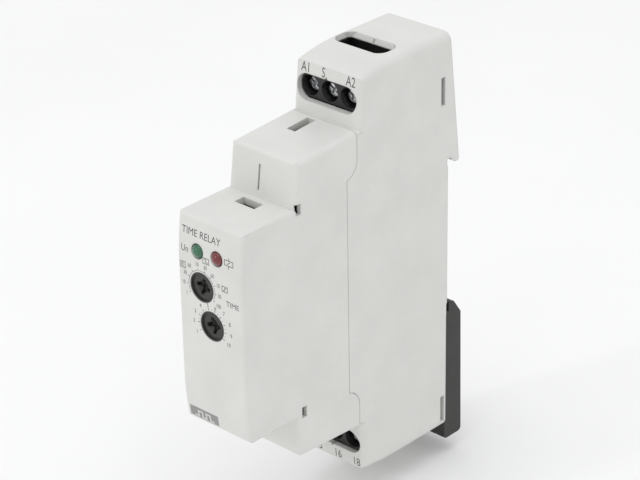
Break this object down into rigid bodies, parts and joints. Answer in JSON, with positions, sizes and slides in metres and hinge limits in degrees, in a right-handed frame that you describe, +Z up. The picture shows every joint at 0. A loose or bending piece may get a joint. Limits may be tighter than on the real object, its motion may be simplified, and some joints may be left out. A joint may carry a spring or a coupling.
{
  "type": "din rail timer",
  "caption": "Slim time relay for a 35 mm DIN rail, with setting dials, indicator lamps, screw clamps at both ends and a pull-down rail clip.",
  "frame": {"origin": "centre of the flat rail seat on the back of the housing, in the plane that touches the front of the rail", "axes": "+Z up along the housing's height, +X to the right seen from the front, +Y towards the rail and the wall; the controls face -Y"},
  "size_m": [0.0176, 0.0659, 0.0937],
  "materials": {
    "housing_plastic": "fine satin moulded light grey",
    "cover_plastic": "fine satin moulded light grey",
    "clip_plastic": "satin moulded near-black",
    "spring_steel": "drawn wire",
    "terminal_plastic": "satin moulded black",
    "board_laminate": "green solder mask",
    "header_plastic": "matte black",
    "trimmer_plastic": "matte blue",
    "dial_plastic": "satin dark grey",
    "green_lens": "glossy diffused green",
    "red_lens": "glossy diffused red",
    "relay_plastic": "satin black",
    "bobbin_plastic": "matte natural",
    "coil_wire": "enamelled copper wire",
    "soft_iron": "plated soft iron",
    "contact_spring": "copper alloy strip",
    "contact_bar_metal": "bright stamped strip",
    "screw_zinc": "bright zinc plated",
    "cage_zinc": "zinc plated stamping",
    "varistor_coating": "blue epoxy coating",
    "film_case": "grey box case",
    "capacitor_sleeve": "dark blue sleeve",
    "resistor_coating": "blue-grey lacquer",
    "ferrite": "dark ferrite",
    "package_plastic": "moulded epoxy",
    "front_print": "thin dark grey pad print",
    "tag_print": "thin mid grey pad print"
  },
  "bodies": {
    "housing": {"rear_housing": "housing_plastic", "front_cover": "cover_plastic", "clip_spring": "spring_steel", "upper_terminal_block": "terminal_plastic", "lower_terminal_block": "terminal_plastic", "contact_a1": "contact_bar_metal", "contact_s": "contact_bar_metal", "contact_a2": "contact_bar_metal", "contact_15": "contact_bar_metal", "contact_16": "contact_bar_metal", "contact_18": "contact_bar_metal", "main_board": "board_laminate", "front_board": "board_laminate", "pin_header": "header_plastic", "range_switch": "trimmer_plastic", "time_pot": "trimmer_plastic", "green_led": "green_lens", "red_led": "red_lens", "relay_base": "relay_plastic", "relay_cap": "relay_plastic", "relay_bobbin": "bobbin_plastic", "relay_coil": "coil_wire", "relay_core": "soft_iron", "relay_yoke": "soft_iron", "relay_no_contact": "contact_bar_metal", "relay_nc_contact": "contact_bar_metal", "varistor": "varistor_coating", "film_capacitor": "film_case", "smoothing_capacitor": "capacitor_sleeve", "output_capacitor": "capacitor_sleeve", "fuse_resistor": "resistor_coating", "choke": "ferrite", "rectifier": "package_plastic", "microcontroller": "package_plastic", "relay_driver": "package_plastic"},
    "clip": {"rail_clip": "clip_plastic"},
    "range_dial": {"range_dial": "dial_plastic"},
    "time_dial": {"time_dial": "dial_plastic"},
    "armature": {"relay_armature": "soft_iron", "relay_leaf": "contact_spring"},
    "screw_a1": {"screw_a1": "screw_zinc"},
    "cage_a1": {"cage_a1": "cage_zinc"},
    "screw_s": {"screw_s": "screw_zinc"},
    "cage_s": {"cage_s": "cage_zinc"},
    "screw_a2": {"screw_a2": "screw_zinc"},
    "cage_a2": {"cage_a2": "cage_zinc"},
    "screw_15": {"screw_15": "screw_zinc"},
    "cage_15": {"cage_15": "cage_zinc"},
    "screw_16": {"screw_16": "screw_zinc"},
    "cage_16": {"cage_16": "cage_zinc"},
    "screw_18": {"screw_18": "screw_zinc"},
    "cage_18": {"cage_18": "cage_zinc"}
  },
  "joints": [
    {"name": "clip_slide", "type": "slide", "parent": "housing", "child": "clip", "axis": [0, 0, -1], "range_m": [0, 0.004], "stiffness_N_per_m": 800, "springref_m": -0.002, "deforming": ["clip_spring"]},
    {"name": "range_dial_turn", "type": "hinge", "parent": "housing", "child": "range_dial", "pos_m": [-0.0022, -0.05975, 0.00845], "axis": [0, 1, 0], "range_deg": [-120, 120]},
    {"name": "time_dial_turn", "type": "hinge", "parent": "housing", "child": "time_dial", "pos_m": [0.0002, -0.05975, 0.00085], "axis": [0, 1, 0], "range_deg": [-120, 120]},
    {"name": "armature_pull", "type": "hinge", "parent": "housing", "child": "armature", "pos_m": [0.00515, -0.02445, -0.007], "axis": [0, -1, 0], "range_deg": [0, 5], "stiffness_Nm_per_rad": 0.01, "springref_deg": -5.73},
    {"name": "screw_a1_turn", "type": "hinge", "parent": "housing", "child": "screw_a1", "pos_m": [-0.00531, -0.0237, 0.0382], "axis": [0, 1, 0], "range_deg": [0, 2160]},
    {"name": "cage_a1_slide", "type": "slide", "parent": "housing", "child": "cage_a1", "axis": [0, -1, 0], "range_m": [0, 0.003]},
    {"name": "screw_s_turn", "type": "hinge", "parent": "housing", "child": "screw_s", "pos_m": [-0.00028, -0.0237, 0.0382], "axis": [0, 1, 0], "range_deg": [0, 2160]},
    {"name": "cage_s_slide", "type": "slide", "parent": "housing", "child": "cage_s", "axis": [0, -1, 0], "range_m": [0, 0.003]},
    {"name": "screw_a2_turn", "type": "hinge", "parent": "housing", "child": "screw_a2", "pos_m": [0.00475, -0.0237, 0.0382], "axis": [0, 1, 0], "range_deg": [0, 2160]},
    {"name": "cage_a2_slide", "type": "slide", "parent": "housing", "child": "cage_a2", "axis": [0, -1, 0], "range_m": [0, 0.003]},
    {"name": "screw_15_turn", "type": "hinge", "parent": "housing", "child": "screw_15", "pos_m": [-0.00531, -0.0237, -0.0382], "axis": [0, 1, 0], "range_deg": [0, 2160]},
    {"name": "cage_15_slide", "type": "slide", "parent": "housing", "child": "cage_15", "axis": [0, -1, 0], "range_m": [0, 0.003]},
    {"name": "screw_16_turn", "type": "hinge", "parent": "housing", "child": "screw_16", "pos_m": [-0.00028, -0.0237, -0.0382], "axis": [0, 1, 0], "range_deg": [0, 2160]},
    {"name": "cage_16_slide", "type": "slide", "parent": "housing", "child": "cage_16", "axis": [0, -1, 0], "range_m": [0, 0.003]},
    {"name": "screw_18_turn", "type": "hinge", "parent": "housing", "child": "screw_18", "pos_m": [0.00475, -0.0237, -0.0382], "axis": [0, 1, 0], "range_deg": [0, 2160]},
    {"name": "cage_18_slide", "type": "slide", "parent": "housing", "child": "cage_18", "axis": [0, -1, 0], "range_m": [0, 0.003]}
  ],
  "couplings": [
    {"joint": "screw_a1_turn", "follows": "cage_a1_slide", "rad_per_m": 12566},
    {"joint": "screw_s_turn", "follows": "cage_s_slide", "rad_per_m": 12566},
    {"joint": "screw_a2_turn", "follows": "cage_a2_slide", "rad_per_m": 12566},
    {"joint": "screw_15_turn", "follows": "cage_15_slide", "rad_per_m": 12566},
    {"joint": "screw_16_turn", "follows": "cage_16_slide", "rad_per_m": 12566},
    {"joint": "screw_18_turn", "follows": "cage_18_slide", "rad_per_m": 12566}
  ]
}
